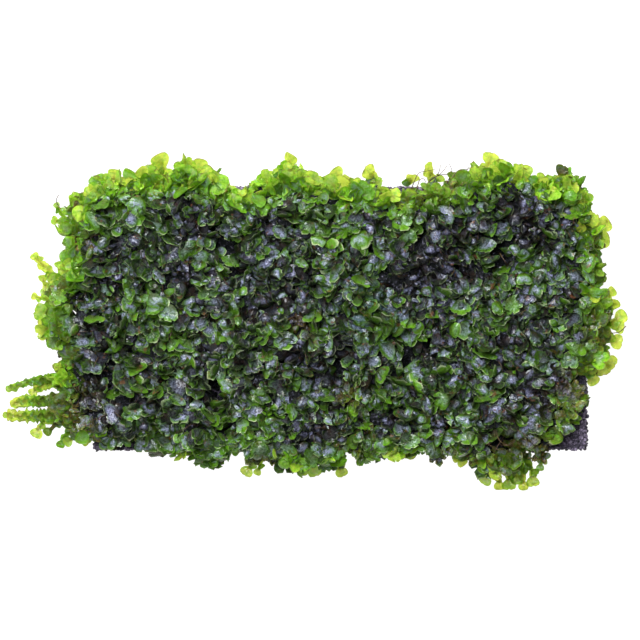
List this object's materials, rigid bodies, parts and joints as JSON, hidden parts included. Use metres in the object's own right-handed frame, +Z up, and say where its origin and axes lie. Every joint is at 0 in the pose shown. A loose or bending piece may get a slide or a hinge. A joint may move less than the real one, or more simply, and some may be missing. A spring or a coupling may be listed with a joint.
{
  "type": "round pellia mat",
  "caption": "Low cushion of small rounded lobes of a round pellia aquarium plant, grown over a thin slab of coarse black foam.",
  "frame": {"origin": "middle of the foam slab's flat underside", "axes": "+X along the slab's length, +Y towards its back long edge, +Z up out of the growth"},
  "size_m": [0.1895, 0.1023, 0.0244],
  "materials": {
    "foam": "coarse open-cell black foam, matt, with a crumbly cut surface",
    "thallus": "wet dark green lobes with a grey-blue sheen and paler rims",
    "young_thallus": "thin yellow-green lobes that let light through, with brownish midlines"
  },
  "bodies": {
    "root": {"foam_slab": "foam", "tuft_front_1": "thallus", "tuft_front_2": "thallus", "tuft_front_3": "thallus", "tuft_front_4": "thallus", "tuft_front_5": "thallus", "tuft_front_6": "thallus", "tuft_front_7": "thallus", "tuft_mid_front_1": "thallus", "tuft_mid_front_2": "thallus", "tuft_mid_front_3": "thallus", "tuft_mid_front_4": "thallus", "tuft_mid_front_5": "thallus", "tuft_mid_front_6": "thallus", "tuft_mid_front_7": "thallus", "tuft_mid_back_1": "thallus", "tuft_mid_back_2": "thallus", "tuft_mid_back_3": "thallus", "tuft_mid_back_4": "thallus", "tuft_mid_back_5": "thallus", "tuft_mid_back_6": "thallus", "tuft_mid_back_7": "thallus", "tuft_back_1": "thallus", "tuft_back_2": "thallus", "tuft_back_3": "thallus", "tuft_back_4": "thallus", "tuft_back_5": "thallus", "tuft_back_6": "thallus", "tuft_back_7": "thallus", "sprig_left_1": "young_thallus", "sprig_left_2": "young_thallus", "sprig_left_3": "young_thallus", "sprig_left_4": "young_thallus", "sprig_left_5": "young_thallus", "sprig_left_6": "young_thallus", "sprig_left_7": "young_thallus", "sprig_left_8": "young_thallus", "sprig_back_1": "young_thallus", "sprig_back_2": "young_thallus", "sprig_back_3": "young_thallus", "sprig_back_4": "young_thallus", "sprig_back_5": "young_thallus", "sprig_back_6": "young_thallus", "sprig_back_7": "young_thallus", "sprig_back_8": "young_thallus", "sprig_back_9": "young_thallus", "sprig_right_1": "young_thallus", "sprig_right_2": "young_thallus", "sprig_right_3": "young_thallus", "sprig_right_4": "young_thallus", "sprig_right_5": "young_thallus", "sprig_front_1": "young_thallus", "sprig_front_2": "young_thallus", "sprig_front_3": "young_thallus", "sprig_front_4": "young_thallus", "sprig_front_5": "young_thallus", "sprig_front_6": "young_thallus", "sprig_front_7": "young_thallus"}
  },
  "joints": []
}
